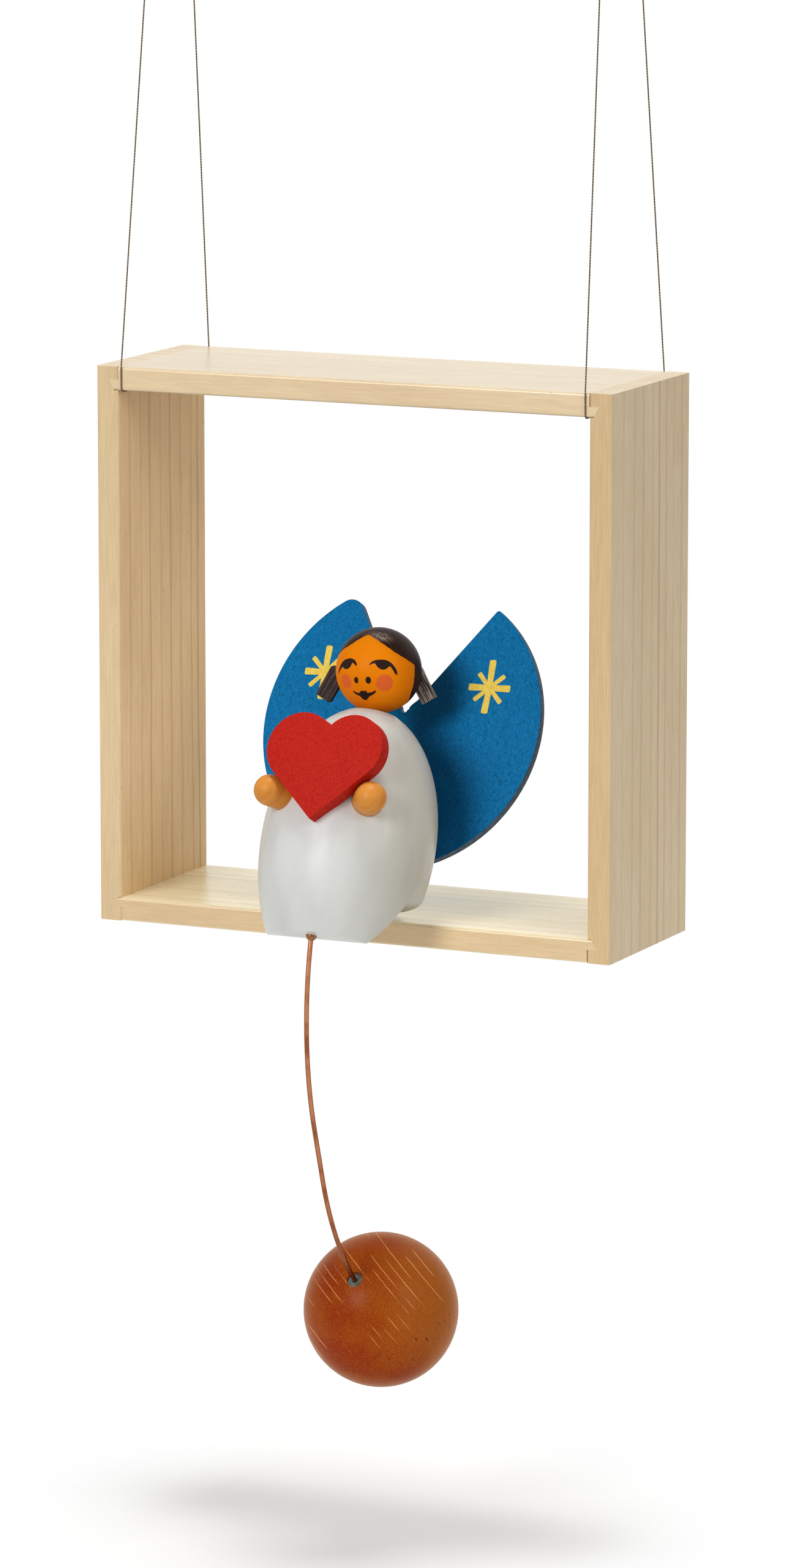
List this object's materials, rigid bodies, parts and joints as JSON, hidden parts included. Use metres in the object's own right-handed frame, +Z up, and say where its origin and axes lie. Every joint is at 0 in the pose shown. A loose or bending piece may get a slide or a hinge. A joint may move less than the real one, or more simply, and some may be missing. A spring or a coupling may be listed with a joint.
{
  "type": "swinging balance figure",
  "caption": "Winged wooden doll with a heart, balanced by a ball on a bent wire, rocking on the lower board of a square frame that swings on two thread loops from a rod.",
  "frame": {"origin": "middle of the hanging rod, on its axis", "axes": "+X along the rod to the right, +Y to the back, +Z up; the figure faces -Y"},
  "size_m": [0.1196, 0.0628, 0.3427],
  "materials": {
    "pine": "raw planed softwood",
    "thread": "thin twisted thread",
    "white_paint": "white paint, satin",
    "orange_paint": "orange paint, satin",
    "hair_paint": "dark brown paint, glossy",
    "blue_paint": "blue paint, satin, with faint grain",
    "red_paint": "red paint, satin",
    "hand_wood": "tan stain, smooth",
    "copper": "bare copper wire",
    "steel": "bright round-nosed pin",
    "stained_wood": "red-brown stain, satin",
    "amber_glue": "clear amber glue",
    "grey_glue": "cloudy glue"
  },
  "bodies": {
    "hanger": {"hanging_rod": "pine"},
    "frame": {"left_thread_loop": "thread", "right_thread_loop": "thread", "left_knot": "thread", "right_knot": "thread", "left_side_board": "pine", "right_side_board": "pine", "top_board": "pine", "bottom_board": "pine"},
    "figure": {"turned_body": "white_paint", "balance_pin": "steel", "neck_dowel": "pine", "head_ball": "orange_paint", "left_pigtail": "hair_paint", "right_pigtail": "hair_paint", "wing_plate": "blue_paint", "heart_plate": "red_paint", "left_hand": "hand_wood", "right_hand": "hand_wood", "copper_wire": "copper", "wire_glue_bead": "amber_glue", "counterweight_ball": "stained_wood", "ball_glue_plug": "grey_glue"}
  },
  "joints": [
    {"name": "frame_swing", "type": "hinge", "parent": "hanger", "child": "frame", "pos_m": [0, 0, 0], "axis": [1, 0, 0], "range_deg": [-20, 20]},
    {"name": "figure_rock", "type": "hinge", "parent": "frame", "child": "figure", "pos_m": [-0.0016, -0.0097, -0.24275], "axis": [1, 0, 0], "range_deg": [-10, 10]}
  ]
}
